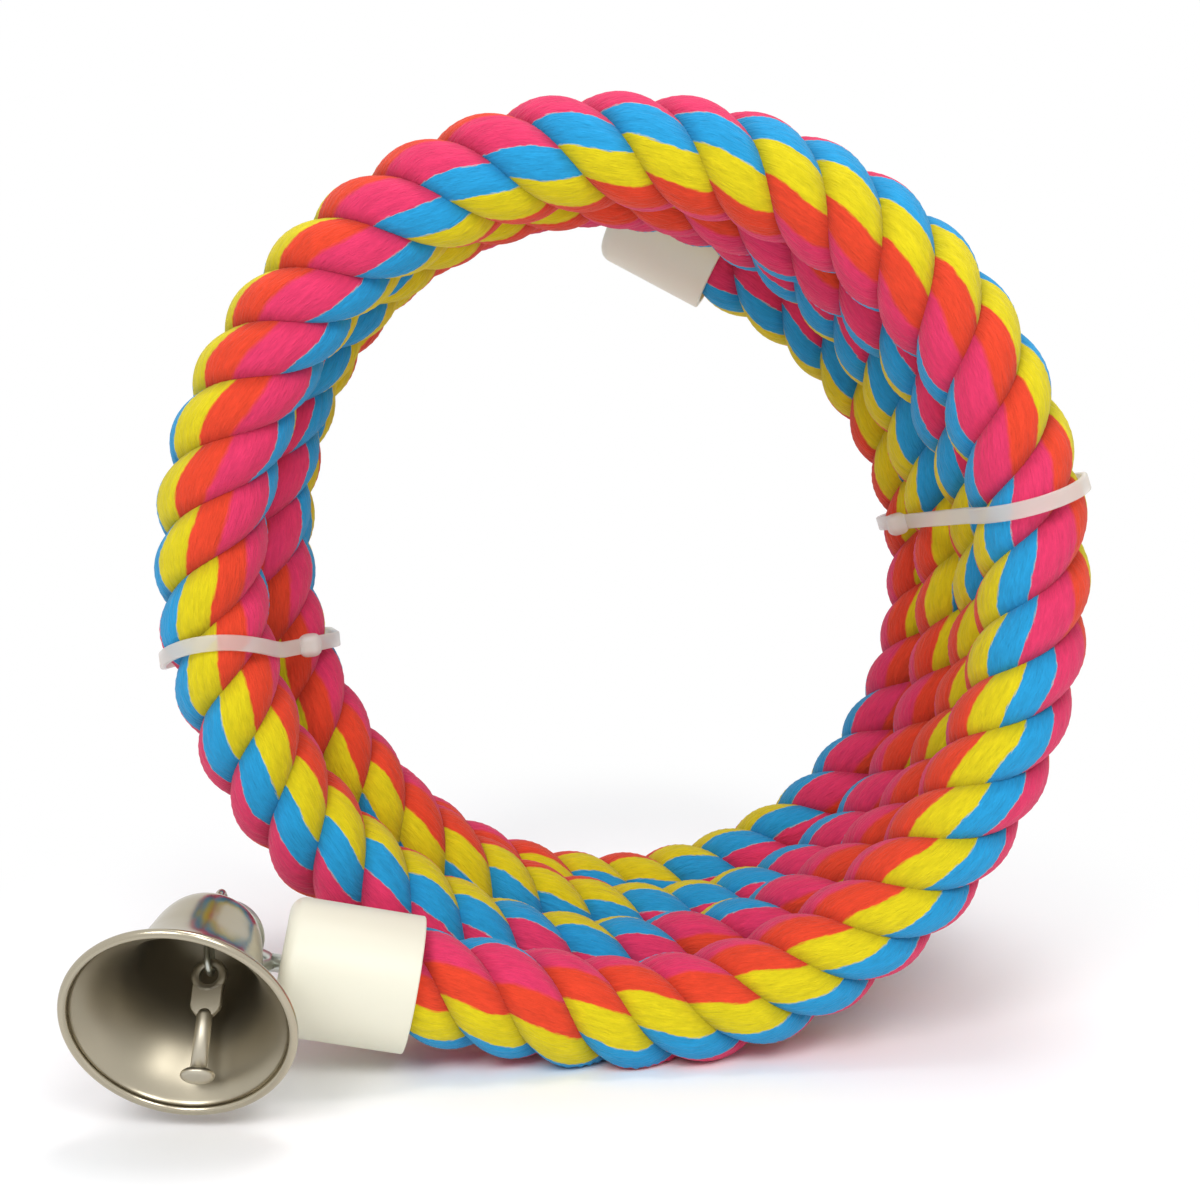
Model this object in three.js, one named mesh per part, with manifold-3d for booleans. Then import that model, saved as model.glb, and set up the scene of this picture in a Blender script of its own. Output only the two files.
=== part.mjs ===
// Bird bungee perch: a springy three-and-a-half turn coil of thick cotton rope over a steel core,
// capped at both ends, with a bell hung from the lower cap and a quick link at the upper one.
// The coil stands on its rim, bundled by two cable ties. Millimetres, +Z up, coil axis along Y.
import * as THREE from "three";
import { mergeVertices } from "three/addons/utils/BufferGeometryUtils.js";
import Module from "manifold-3d";

const wasm = await Module();
wasm.setup();

// Clearances
const GAP = 0.3;
const SELF_GAP_LEAST = 0.4;

// Rope and its core
const ROPE_DIAMETER = 25;
const ROPE_SIDES = 6;
const FLAT_DEPTH = ROPE_DIAMETER / 10;
const CORE_WIRE_DIAMETER = 5;
const CORE_SET_BACK = 2;

// Coil: each list has one value a full turn, from the lower end's turn to the upper one
const STEPS_PER_TURN = 24;
const COIL_STEPS = 83;
const COIL_START = -101.7;
const TURN_GAP = 0.6;
const TURN_RADIUS = [87.5, 94.5, 88, 91.5, 80];
const TURN_SHIFT = [5, -1.5, 1.5, -2, -3];
const TURN_OVAL = [-3.5, -1.5, -2.5, -3.5, 0.5];
const TURN_LEAN = [1.5, -1.5, -4.5, -1, -9.5];
const SPREAD_ARC = 70;
const LOWER_SPREAD = 2;
const UPPER_SPREAD = 4;

// Straight rope between the coil and each cap
const LOWER_STRAIGHT = 34;
const UPPER_STRAIGHT = 8;

// End caps
const CAP_WALL = 2.15;
const CAP_LENGTH = 29.5;
const CAP_END_WALL = 2.5;
const CAP_END_ROUND = 3.5;
const CAP_MOUTH_ROUND = 0.6;
const ROPE_GRIP = 18;

// Eye bolts, washers and nuts
const BOLT_DIAMETER = 4;
const EYE_WIRE = 2.6;
const EYE_RADIUS = 4.2;
const EYE_STANDOFF = 0.8;
const WASHER_DIAMETER = 14;
const WASHER_THICKNESS = 1;
const NUT_WIDTH = 7;
const NUT_HEIGHT = 3.2;
const BOLT_PAST_NUT = 1.2;

// Cable ties: strap and head's width, length and height. Then each tie's angle round the coil, how
// many degrees it falls back from one turn to the next, how many its strap is turned from square
// to the rope, and its head's distance from the middle of the last row that it binds
const TIE_WIDTH = 3.6;
const TIE_THICKNESS = 1.3;
const TIE_HEAD = [6.7, 5.4, 4.6];
const TIE_PLACES = {
  right: { degrees: 14, lag: 2, tilt: 6, headFromLast: 26 },
  left: { degrees: 191.5, lag: -2, tilt: -8, headFromLast: 43 },
};

// Link ring round the lower eye's far wire, which carries the bell: its lean up from the cap's
// axis, and the angle at which the bell's hanger sits on it
const RING_WIRE = 2.8;
const RING_RADIUS = 7.4;
const RING_LEAN = 34;
const RING_TOP = 14;

// Bell: outline as parts of the mouth's radius and of the height, and dip and yaw from the coil's axis
const BELL_RADIUS = 23.9;
const BELL_HEIGHT = 34;
const BELL_OUTLINE = [
  [1, 0], [1, 0.035], [0.933, 0.074], [0.824, 0.147], [0.732, 0.235], [0.64, 0.353],
  [0.569, 0.5], [0.523, 0.647], [0.473, 0.794], [0.402, 0.897], [0.28, 0.965], [0.121, 1],
];
const BELL_WALL = 1;
const BELL_LIP = 1.9;
const BELL_DIP = 20;
const BELL_YAW = 4;

// Wire hanger: an upright loop over the crown, a stem through it and a level loop inside
const HANGER_WIRE = 1.8;
const HANGER_RADIUS = 2.8;
const INNER_LOOP_WIRE = 1.4;
const INNER_LOOP_RADIUS = 2.4;

// Hook and clapper, with how far they dip from the bell's axis and lean to its side: the clapper's
// plate runs from the middle of the hole down to its shank
const HOOK_WIRE = 1.4;
const HOOK_HALF_WIDTH = 2.3;
const HOOK_LENGTH = 9.3;
const HOOK_DIP = 28;
const HOOK_LEAN = 10;
const CLAPPER_HEAD_DIAMETER = 7.3;
const CLAPPER_HEAD_THICKNESS = 1.5;
const CLAPPER_HOLE = 4;
const CLAPPER_PLATE_WIDTH = 6.4;
const CLAPPER_PLATE_LENGTH = 8.5;
const CLAPPER_SHANK = 3.3;
const CLAPPER_KNOB_DIAMETER = 7;
const CLAPPER_KNOB_HEIGHT = 3;
const CLAPPER_LENGTH = 21.8;
const CLAPPER_LEAN = -8;

// Quick link on the upper eye: a wire loop with a gate closed by a threaded sleeve, and how far
// it hangs below the cap's axis
const LINK_WIRE = 3.2;
const LINK_HALF_WIDTH = 6.5;
const LINK_STRAIGHT = 25;
const LINK_GATE = 8;
const LINK_HANG = 36;
const SLEEVE_LENGTH = 12;
const SLEEVE_WIDTH = 7;
const SLEEVE_END_ROOM = 0.5;

// Facets of turned pieces, bars, wires and the loops that wires make
const TURNED_SEGMENTS = 32;
const BELL_SEGMENTS = 40;
const BAR_SEGMENTS = 16;
const THIN_BAR_SEGMENTS = 12;
const DISC_SEGMENTS = 20;
const DOME_RINGS = 10;
const ROUND_STEPS = 4;
const SMALL_ROUND_STEPS = 2;
const WIRE_SIDES = 10;
const FINE_WIRE_SIDES = 8;
const EYE_SEGMENTS = 24;
const FINE_LOOP_SEGMENTS = 20;
const HOOK_BEND_STEPS = 8;
const LINK_BEND_STEPS = 12;
const TIE_ARC_STEPS = 24;

// Degrees to each side of a place on the coil between which its direction is measured
const DIRECTION_REACH = 0.5;

const RADIANS = Math.PI / 180;
const stepAngle = 360 / STEPS_PER_TURN;
const coilEnd = COIL_START + COIL_STEPS * stepAngle;
const ropeRadius = ROPE_DIAMETER / 2;
const turnPitch = ROPE_DIAMETER + TURN_GAP;
const ropeRest = ropeRadius - FLAT_DEPTH;

// Materials
const finish = (color, roughness, metalness = 0) =>
  new THREE.MeshStandardMaterial({ color, roughness, metalness });
const materials = {
  rope: finish(0xe2557a, 0.9),
  steel: finish(0x9a9a96, 0.4, 1),
  cap: finish(0xf5f5e6, 0.45),
  zinc: finish(0xc6cabf, 0.35, 1),
  nickel: finish(0xb9b3a2, 0.2, 1),
  nylon: finish(0xeceade, 0.4),
};

// A point in the XZ plane at an angle from +X towards +Z
function onAngle(degrees, radius) {
  const angle = degrees * RADIANS;
  return new THREE.Vector3(Math.cos(angle), 0, Math.sin(angle)).multiplyScalar(radius);
}

// A value along the coil, from one value a turn, without corners
function alongCoil(values, turns) {
  const last = values.length - 1;
  const at = (i) => {
    if (i < 0) return 2 * values[0] - values[1];
    if (i > last) return 2 * values[last] - values[last - 1];
    return values[i];
  };
  const i = Math.min(Math.max(Math.floor(turns), 0), last - 1);
  const t = turns - i;
  const slopeIn = (at(i + 1) - at(i - 1)) / 2;
  const slopeOut = (at(i + 2) - at(i)) / 2;
  const t2 = t * t;
  const t3 = t2 * t;
  return (2 * t3 - 3 * t2 + 1) * at(i) + (t3 - 2 * t2 + t) * slopeIn
    + (3 * t2 - 2 * t3) * at(i + 1) + (t3 - t2) * slopeOut;
}

// Centre of the rope at an angle round the coil, in degrees from +X towards +Z
function coilPoint(degrees) {
  const turns = (degrees - COIL_START) / 360;
  const angle = degrees * RADIANS;
  const radius = alongCoil(TURN_RADIUS, turns);
  const oval = alongCoil(TURN_OVAL, turns);
  const lean = alongCoil(TURN_LEAN, turns);
  const reach = radius + oval * Math.cos(2 * angle) + lean * Math.sin(2 * angle);
  const intoStart = Math.max(0, COIL_START + SPREAD_ARC - degrees) / SPREAD_ARC;
  const intoEnd = Math.max(0, degrees - coilEnd + SPREAD_ARC) / SPREAD_ARC;
  const spread = UPPER_SPREAD * intoEnd * intoEnd - LOWER_SPREAD * intoStart * intoStart;
  return new THREE.Vector3(
    reach * Math.cos(angle) + alongCoil(TURN_SHIFT, turns),
    turnPitch * turns + spread,
    reach * Math.sin(angle) + radius - oval + ropeRest,
  );
}

// A station of a tube: its centre, its direction and the outward side of its section
function station(centre, direction, outward) {
  const ahead = direction.clone().normalize();
  const out = outward.clone().addScaledVector(ahead, -outward.dot(ahead)).normalize();
  return { centre, ahead, out, side: new THREE.Vector3().crossVectors(ahead, out) };
}

// One closed body along a row of stations, open-ended rows with flat ends
function tube(stations, radius, sides, closed = false) {
  const positions = [];
  for (const { centre, out, side } of stations) {
    for (let k = 0; k < sides; k += 1) {
      const angle = (k * 2 * Math.PI) / sides;
      const point = centre.clone().addScaledVector(out, radius * Math.cos(angle));
      point.addScaledVector(side, radius * Math.sin(angle));
      positions.push(point.x, point.y, point.z);
    }
  }
  const faces = [];
  const rings = stations.length;
  const spans = closed ? rings : rings - 1;
  for (let i = 0; i < spans; i += 1) {
    const near = i * sides;
    const far = ((i + 1) % rings) * sides;
    for (let k = 0; k < sides; k += 1) {
      const next = (k + 1) % sides;
      faces.push(near + k, near + next, far + next, near + k, far + next, far + k);
    }
  }
  if (!closed) {
    const last = (rings - 1) * sides;
    for (let k = 1; k < sides - 1; k += 1) {
      faces.push(0, k + 1, k, last, last + k, last + k + 1);
    }
  }
  const geometry = new THREE.BufferGeometry();
  geometry.setAttribute("position", new THREE.Float32BufferAttribute(positions, 3));
  geometry.setIndex(faces);
  return geometry;
}

// Solids for joining and cutting
function solid(geometry) {
  const bare = geometry.clone();
  bare.deleteAttribute("normal");
  bare.deleteAttribute("uv");
  const merged = mergeVertices(bare, 1e-4);
  const vertProperties = new Float32Array(merged.attributes.position.array);
  const triVerts = new Uint32Array(merged.index.array);
  return new wasm.Manifold(new wasm.Mesh({ numProp: 3, vertProperties, triVerts }));
}

function geometryOf(body) {
  const { vertProperties, triVerts } = body.getMesh();
  const geometry = new THREE.BufferGeometry();
  geometry.setAttribute("position", new THREE.Float32BufferAttribute(vertProperties, 3));
  geometry.setIndex([...triVerts]);
  geometry.computeVertexNormals();
  return geometry;
}

function join(first, ...others) {
  return geometryOf(others.reduce((body, other) => body.add(solid(other)), solid(first)));
}

function cut(first, ...others) {
  return geometryOf(others.reduce((body, other) => body.subtract(solid(other)), solid(first)));
}

// A turned piece about +Z, from a closed outline of [radius, height] points
function turned(outline, segments = TURNED_SEGMENTS) {
  const points = outline.map(([radius, height]) => new THREE.Vector2(radius, height));
  return new THREE.LatheGeometry([...points, points[0]], segments).rotateX(Math.PI / 2);
}

// A round bar along +Z between two heights
function bar(diameter, from, to, segments = BAR_SEGMENTS) {
  const geometry = new THREE.CylinderGeometry(diameter / 2, diameter / 2, to - from, segments);
  return geometry.rotateX(Math.PI / 2).translate(0, 0, (from + to) / 2);
}

// A closed wire loop with straight sides along +Z, in the XZ plane, about its own middle
function wireLoop(halfWidth, straight, wire, bendSteps) {
  const stations = [];
  for (const end of [1, -1]) {
    for (let k = 0; k <= bendSteps; k += 1) {
      const angle = (k * Math.PI) / bendSteps;
      const out = new THREE.Vector3(Math.cos(angle), 0, Math.sin(angle)).multiplyScalar(end);
      const bendMiddle = new THREE.Vector3(0, 0, (end * straight) / 2);
      const centre = out.clone().multiplyScalar(halfWidth).add(bendMiddle);
      stations.push(station(centre, new THREE.Vector3(-out.z, 0, out.x), out));
    }
  }
  return tube(stations, wire / 2, FINE_WIRE_SIDES, true);
}

function node(name, geometry, material) {
  const mesh = new THREE.Mesh(geometry, material);
  mesh.name = name;
  return mesh;
}

// Rope route: straight into the lower cap, round the coil, straight into the upper cap
function coilStation(degrees) {
  const ahead = coilPoint(degrees + DIRECTION_REACH).sub(coilPoint(degrees - DIRECTION_REACH));
  return station(coilPoint(degrees), ahead, onAngle(degrees, 1));
}

const coilStations = [];
for (let step = 0; step <= COIL_STEPS; step += 1) {
  coilStations.push(coilStation(COIL_START + step * stepAngle));
}
const coilFirst = coilStations[0];
const coilLast = coilStations[COIL_STEPS];

function along(from, distance) {
  return { ...from, centre: from.centre.clone().addScaledVector(from.ahead, distance) };
}

function route(setBack) {
  return [
    along(coilFirst, setBack - LOWER_STRAIGHT - ROPE_GRIP),
    ...coilStations,
    along(coilLast, UPPER_STRAIGHT + ROPE_GRIP - setBack),
  ];
}

// Least gap between the rope and itself, measured on points between its faces' middles
function leastSelfGap() {
  const flatRadius = ropeRadius * Math.cos(Math.PI / ROPE_SIDES);
  let least = Infinity;
  for (let i = 0; i < coilStations.length; i += 1) {
    for (let j = i + STEPS_PER_TURN / 2; j < coilStations.length; j += 1) {
      least = Math.min(least, coilStations[i].centre.distanceTo(coilStations[j].centre));
    }
  }
  return least - 2 * flatRadius;
}

// The floor is a block wider than the coil, up to the surface that the coil stands on
function ropeGeometry() {
  const coreRadius = CORE_WIRE_DIAMETER / 2 + GAP / Math.cos(Math.PI / ROPE_SIDES);
  const floorSize = 8 * Math.max(...TURN_RADIUS);
  const floor = new THREE.BoxGeometry(floorSize, floorSize, ROPE_DIAMETER);
  floor.translate(0, 0, -ROPE_DIAMETER / 2);
  return cut(
    tube(route(0), ropeRadius, ROPE_SIDES),
    tube(route(-CORE_SET_BACK), coreRadius, ROPE_SIDES),
    floor,
  );
}

const selfGap = leastSelfGap();
console.log(`least gap between the rope's turns: ${selfGap.toFixed(2)} mm`);
if (selfGap < SELF_GAP_LEAST) {
  console.log(`the rope's turns need at least ${SELF_GAP_LEAST} mm between them`);
}

// End fittings, each about +Z, which leaves the rope: cap mouth at zero
const capBore = (ropeRadius + GAP) / Math.cos(Math.PI / TURNED_SEGMENTS);
const capRadius = capBore + CAP_WALL;
const capInnerEnd = CAP_LENGTH - CAP_END_WALL;
const boltHole = BOLT_DIAMETER / 2 + GAP;
const washerTop = capInnerEnd - GAP;
const nutTop = washerTop - WASHER_THICKNESS - GAP;
const boltEnd = nutTop - NUT_HEIGHT - BOLT_PAST_NUT;
const eyeMiddle = CAP_LENGTH + EYE_STANDOFF + EYE_WIRE / 2 + EYE_RADIUS;
const eyeFar = eyeMiddle + EYE_RADIUS;

function arc(cx, cy, radius, fromAngle, toAngle, steps = ROUND_STEPS) {
  const points = [];
  for (let k = 0; k <= steps; k += 1) {
    const angle = (fromAngle + ((toAngle - fromAngle) * k) / steps) * RADIANS;
    points.push([cx + radius * Math.cos(angle), cy + radius * Math.sin(angle)]);
  }
  return points;
}

function capGeometry() {
  return turned([
    [capBore, 0],
    ...arc(capRadius - CAP_MOUTH_ROUND, CAP_MOUTH_ROUND, CAP_MOUTH_ROUND, -90, 0, SMALL_ROUND_STEPS),
    ...arc(capRadius - CAP_END_ROUND, CAP_LENGTH - CAP_END_ROUND, CAP_END_ROUND, 0, 90),
    [boltHole, CAP_LENGTH],
    [boltHole, capInnerEnd],
    [capBore, capInnerEnd],
  ]);
}

// The eye lies in the plane of the bolt and local Y, so its far wire runs along Y
function eyeBoltGeometry() {
  const eye = new THREE.TorusGeometry(EYE_RADIUS, EYE_WIRE / 2, WIRE_SIDES, EYE_SEGMENTS);
  return join(
    eye.rotateY(Math.PI / 2).translate(0, 0, eyeMiddle),
    bar(BOLT_DIAMETER, boltEnd, eyeMiddle - EYE_RADIUS),
  );
}

function washerGeometry() {
  return turned([
    [boltHole, washerTop - WASHER_THICKNESS],
    [WASHER_DIAMETER / 2, washerTop - WASHER_THICKNESS],
    [WASHER_DIAMETER / 2, washerTop],
    [boltHole, washerTop],
  ]);
}

function hexNut(width, height, hole) {
  const cornerRadius = width / Math.sqrt(3);
  const hexagon = new THREE.CylinderGeometry(cornerRadius, cornerRadius, height, 6);
  return cut(hexagon.rotateX(Math.PI / 2), bar(hole, -height, height));
}

function endFitting(name, from, outwardSign, distance) {
  const axis = from.ahead.clone().multiplyScalar(outwardSign);
  const up = new THREE.Vector3(0, 0, 1).addScaledVector(axis, -axis.z).normalize();
  const across = new THREE.Vector3().crossVectors(axis, up);
  const group = new THREE.Group();
  group.position.copy(from.centre).addScaledVector(axis, distance);
  group.quaternion.setFromRotationMatrix(new THREE.Matrix4().makeBasis(up, across, axis));
  const nut = node(`${name}_nut`, hexNut(NUT_WIDTH, NUT_HEIGHT, 2 * boltHole), materials.zinc);
  nut.position.z = nutTop - NUT_HEIGHT / 2;
  group.add(
    node(`${name}_end_cap`, capGeometry(), materials.cap),
    node(`${name}_eye_bolt`, eyeBoltGeometry(), materials.zinc),
    node(`${name}_washer`, washerGeometry(), materials.zinc),
    nut,
  );
  return group;
}

// Cable tie: a strap round the bundle's section, with its locking head on the inner run
function hull(points) {
  const sorted = [...points].sort((p, q) => p.x - q.x || p.y - q.y);
  const turn = (o, p, q) => (p.x - o.x) * (q.y - o.y) - (p.y - o.y) * (q.x - o.x);
  const half = (row) => {
    const chain = [];
    for (const point of row) {
      while (chain.length > 1 && turn(chain.at(-2), chain.at(-1), point) <= 0) chain.pop();
      chain.push(point);
    }
    return chain.slice(0, -1);
  };
  return [...half(sorted), ...half(sorted.reverse())];
}

function ropeCentreAt(degrees) {
  const place = (degrees - COIL_START) / stepAngle;
  const index = Math.min(Math.floor(place), COIL_STEPS - 1);
  return coilStations[index].centre.clone().lerp(coilStations[index + 1].centre, place - index);
}

function cableTie(name, { degrees, lag, tilt, headFromLast }) {
  const crossings = [];
  for (let angle = degrees; angle < coilEnd; angle += 360 - lag) {
    crossings.push(ropeCentreAt(angle));
  }
  const middle = degrees - (lag * (crossings.length - 1)) / 2;
  const radial = onAngle(middle + tilt, 1);
  const origin = crossings[0];
  const across = crossings.at(-1).clone().sub(origin);
  across.addScaledVector(radial, -across.dot(radial)).normalize();
  const offsets = crossings.map((centre) => {
    const offset = centre.clone().sub(origin);
    return { out: offset.dot(radial), back: offset.dot(across) };
  });
  const skew = across.y * Math.cos(tilt * RADIANS);
  const bend = (stepAngle / 2 + Math.abs(tilt)) * RADIANS;
  const inner = ropeRadius / skew + GAP + (TIE_WIDTH / 2) * Math.tan(bend);
  const lastAngle = 360 - 360 / TIE_ARC_STEPS;
  const outline = (radius) => {
    const points = offsets.flatMap(({ out, back }) =>
      arc(out, back, radius, 0, lastAngle, TIE_ARC_STEPS - 1));
    return hull(points.map(([x, y]) => new THREE.Vector2(x, y)));
  };
  const band = new THREE.Shape(outline(inner + TIE_THICKNESS));
  band.holes.push(new THREE.Path(outline(inner)));
  const strap = new THREE.ExtrudeGeometry(band, { depth: TIE_WIDTH, bevelEnabled: false });
  strap.translate(0, 0, -TIE_WIDTH / 2);
  const back = offsets.at(-1).back - headFromLast;
  const behind = offsets.findIndex((offset) => offset.back > back);
  const [near, far] = [offsets[behind - 1], offsets[behind]];
  const headOut = near.out + ((far.out - near.out) * (back - near.back)) / (far.back - near.back);
  const [headWidth, headLength, headHeight] = TIE_HEAD;
  const head = new THREE.BoxGeometry(headHeight + TIE_THICKNESS / 2, headLength, headWidth);
  head.translate(headOut - inner - (TIE_THICKNESS / 2 + headHeight) / 2 - TIE_THICKNESS / 2, back, 0);
  const tie = node(name, join(strap, head), materials.nylon);
  tie.position.copy(origin);
  const through = new THREE.Vector3().crossVectors(radial, across);
  tie.quaternion.setFromRotationMatrix(new THREE.Matrix4().makeBasis(radial, across, through));
  return tie;
}

// Bell, with a hole in its crown for the hanger's stem
function bellGeometry() {
  const outside = BELL_OUTLINE.map(([radius, height]) => [
    radius * BELL_RADIUS,
    (height - 1) * BELL_HEIGHT,
  ]);
  const inside = outside.slice(1).map(([radius, height], i) => {
    const [beforeRadius, beforeHeight] = outside[i];
    const run = Math.hypot(radius - beforeRadius, height - beforeHeight);
    const wall = i === 0 ? BELL_LIP : BELL_WALL;
    return [
      radius - (wall * (height - beforeHeight)) / run,
      height - (wall * (beforeRadius - radius)) / run,
    ];
  });
  const [mouthRadius, mouth] = outside[0];
  const shell = turned([
    ...outside, [0, 0], [0, -BELL_WALL], ...inside.reverse(), [mouthRadius - BELL_LIP, mouth],
  ], BELL_SEGMENTS);
  return cut(shell, bar(HANGER_WIRE + 2 * GAP, -4 * BELL_WALL, BELL_WALL));
}

// Heights of the hanger's loops in the bell's frame
const outerLoopHeight = GAP + HANGER_WIRE / 2 + HANGER_RADIUS;
const hangerTop = outerLoopHeight + HANGER_RADIUS;
const innerLoopHeight = -(BELL_WALL + GAP + INNER_LOOP_WIRE / 2 + INNER_LOOP_RADIUS);
const hangerBottom = innerLoopHeight - INNER_LOOP_RADIUS;

function fineLoop(radius, wire) {
  return new THREE.TorusGeometry(radius, wire / 2, FINE_WIRE_SIDES, FINE_LOOP_SEGMENTS);
}

function hangerGeometry() {
  const outer = fineLoop(HANGER_RADIUS, HANGER_WIRE).rotateX(Math.PI / 2);
  const inner = fineLoop(INNER_LOOP_RADIUS, INNER_LOOP_WIRE).rotateY(Math.PI / 2);
  const stemBottom = innerLoopHeight + INNER_LOOP_RADIUS;
  const stemTop = outerLoopHeight - HANGER_RADIUS;
  return join(
    outer.translate(0, 0, outerLoopHeight),
    inner.translate(0, 0, innerLoopHeight),
    bar(HANGER_WIRE, stemBottom, stemTop, THIN_BAR_SEGMENTS),
  );
}

// The hook hangs down -Z from the wire that it is on, whose centre is at zero
const hookTop = (INNER_LOOP_WIRE + HOOK_WIRE) / 2 + GAP;
const hookBottom = hookTop - HOOK_LENGTH;

function hookGeometry() {
  const straight = HOOK_LENGTH - 2 * HOOK_HALF_WIDTH;
  const loop = wireLoop(HOOK_HALF_WIDTH, straight, HOOK_WIRE, HOOK_BEND_STEPS);
  return loop.translate(0, 0, (hookTop + hookBottom) / 2);
}

// The clapper hangs down -Z from the hook's wire, whose centre is at zero, with its flat head facing X
function clapperGeometry() {
  const half = CLAPPER_HEAD_THICKNESS / 2;
  const insideHook = HOOK_HALF_WIDTH - HOOK_WIRE / 2 - GAP;
  const holeTop = HOOK_HALF_WIDTH - Math.sqrt(insideHook * insideHook - half * half);
  const holeHeight = holeTop - CLAPPER_HOLE / 2;
  const head = bar(CLAPPER_HEAD_DIAMETER, -half, half, DISC_SEGMENTS).rotateY(Math.PI / 2);
  const hole = bar(CLAPPER_HOLE, -2 * half, 2 * half).rotateY(Math.PI / 2);
  const plateBottom = holeHeight - CLAPPER_PLATE_LENGTH;
  const plate = new THREE.BoxGeometry(2 * half, CLAPPER_PLATE_WIDTH, CLAPPER_PLATE_LENGTH);
  const knob = new THREE.SphereGeometry(CLAPPER_KNOB_DIAMETER / 2, DISC_SEGMENTS, DOME_RINGS);
  knob.rotateX(Math.PI / 2).scale(1, 1, CLAPPER_KNOB_HEIGHT / CLAPPER_KNOB_DIAMETER);
  return cut(
    join(
      head.translate(0, 0, holeHeight),
      plate.translate(0, 0, (holeHeight + plateBottom) / 2),
      bar(CLAPPER_SHANK, -CLAPPER_LENGTH, plateBottom + 2 * half, THIN_BAR_SEGMENTS),
      knob.translate(0, 0, -CLAPPER_LENGTH),
    ),
    hole.translate(0, 0, holeHeight),
  );
}

// The quick link hangs along +Z from the eye's wire, whose centre is at zero
const linkNear = -((EYE_WIRE + LINK_WIRE) / 2 + GAP);
const linkMiddle = linkNear + LINK_HALF_WIDTH + LINK_STRAIGHT / 2;
const gateMiddle = linkMiddle + (LINK_STRAIGHT - SLEEVE_LENGTH) / 2 - SLEEVE_END_ROOM;

function linkBodyGeometry() {
  const loop = wireLoop(LINK_HALF_WIDTH, LINK_STRAIGHT, LINK_WIRE, LINK_BEND_STEPS);
  const gate = new THREE.BoxGeometry(2 * LINK_WIRE, 2 * LINK_WIRE, LINK_GATE);
  return cut(loop.translate(0, 0, linkMiddle), gate.translate(-LINK_HALF_WIDTH, 0, gateMiddle));
}

function sleeveGeometry() {
  return hexNut(SLEEVE_WIDTH, SLEEVE_LENGTH, LINK_WIRE + 2 * GAP);
}

// Assembly
const part = new THREE.Group();
part.name = "bird_bungee_perch";

const core = tube(route(CORE_SET_BACK), CORE_WIRE_DIAMETER / 2, ROPE_SIDES);
part.add(
  node("rope", ropeGeometry(), materials.rope),
  node("core_spring_wire", core, materials.steel),
);

for (const [side, place] of Object.entries(TIE_PLACES)) {
  part.add(cableTie(`cable_tie_${side}`, place));
}

const lowerEnd = endFitting("lower", coilFirst, -1, LOWER_STRAIGHT);
const upperEnd = endFitting("upper", coilLast, 1, UPPER_STRAIGHT);
part.add(lowerEnd, upperEnd);

const lowerEyeWire = new THREE.Vector3(0, 0, eyeFar);
const ringOffset = RING_RADIUS - (RING_WIRE + EYE_WIRE) / 2 - GAP;
const ringCentre = onAngle(RING_LEAN, ringOffset).add(lowerEyeWire);
const ring = node(
  "bell_ring",
  new THREE.TorusGeometry(RING_RADIUS, RING_WIRE / 2, WIRE_SIDES, TURNED_SEGMENTS).rotateX(Math.PI / 2),
  materials.zinc,
);
ring.position.copy(ringCentre);
lowerEnd.add(ring);

lowerEnd.updateMatrixWorld(true);
const ringTop = lowerEnd.localToWorld(onAngle(RING_TOP, RING_RADIUS).add(ringCentre));
const bellUp = new THREE.Vector3(
  Math.sin(BELL_YAW * RADIANS) * Math.cos(BELL_DIP * RADIANS),
  Math.cos(BELL_YAW * RADIANS) * Math.cos(BELL_DIP * RADIANS),
  Math.sin(BELL_DIP * RADIANS),
);
const bellX = new THREE.Vector3(0, 0, 1).addScaledVector(bellUp, -bellUp.z).normalize();
const bellY = new THREE.Vector3().crossVectors(bellUp, bellX);
const bell = new THREE.Group();
bell.position.copy(ringTop);
bell.position.addScaledVector(bellUp, -(hangerTop - (HANGER_WIRE + RING_WIRE) / 2 - GAP));
bell.quaternion.setFromRotationMatrix(new THREE.Matrix4().makeBasis(bellX, bellY, bellUp));
bell.add(
  node("bell_shell", bellGeometry(), materials.nickel),
  node("bell_hanger", hangerGeometry(), materials.nickel),
);
part.add(bell);

const hook = node("clapper_hook", hookGeometry(), materials.zinc);
hook.position.z = hangerBottom;
hook.rotation.set(HOOK_LEAN * RADIANS, HOOK_DIP * RADIANS, 0, "YXZ");
const clapper = node("clapper", clapperGeometry(), materials.zinc);
clapper.position.z = hookBottom;
clapper.rotation.x = CLAPPER_LEAN * RADIANS;
hook.add(clapper);
bell.add(hook);

const quickLink = new THREE.Group();
quickLink.position.z = eyeFar;
quickLink.rotation.y = -LINK_HANG * RADIANS;
const sleeve = node("quick_link_sleeve", sleeveGeometry(), materials.zinc);
sleeve.position.set(-LINK_HALF_WIDTH, 0, gateMiddle);
quickLink.add(node("quick_link_body", linkBodyGeometry(), materials.zinc), sleeve);
upperEnd.add(quickLink);

// The origin lies on the flat under the second turn, on the surface that the coil stands on
const base = coilPoint(270);
part.position.set(-base.x, -base.y, 0);

export default part;
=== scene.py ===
"""Looks of the bird bungee perch: twisted rope, caps, ties, bell and hardware. Metres, +Z up."""
import math

import bmesh
import bpy
import numpy as np
from mathutils import Matrix, Vector


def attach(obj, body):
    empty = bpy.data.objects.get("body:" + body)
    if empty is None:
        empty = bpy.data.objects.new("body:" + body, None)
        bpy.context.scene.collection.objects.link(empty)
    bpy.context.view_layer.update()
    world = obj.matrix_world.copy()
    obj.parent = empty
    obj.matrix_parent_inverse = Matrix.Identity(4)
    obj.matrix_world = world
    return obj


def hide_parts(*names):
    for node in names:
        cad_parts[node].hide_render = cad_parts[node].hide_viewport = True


MM = 0.001

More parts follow.
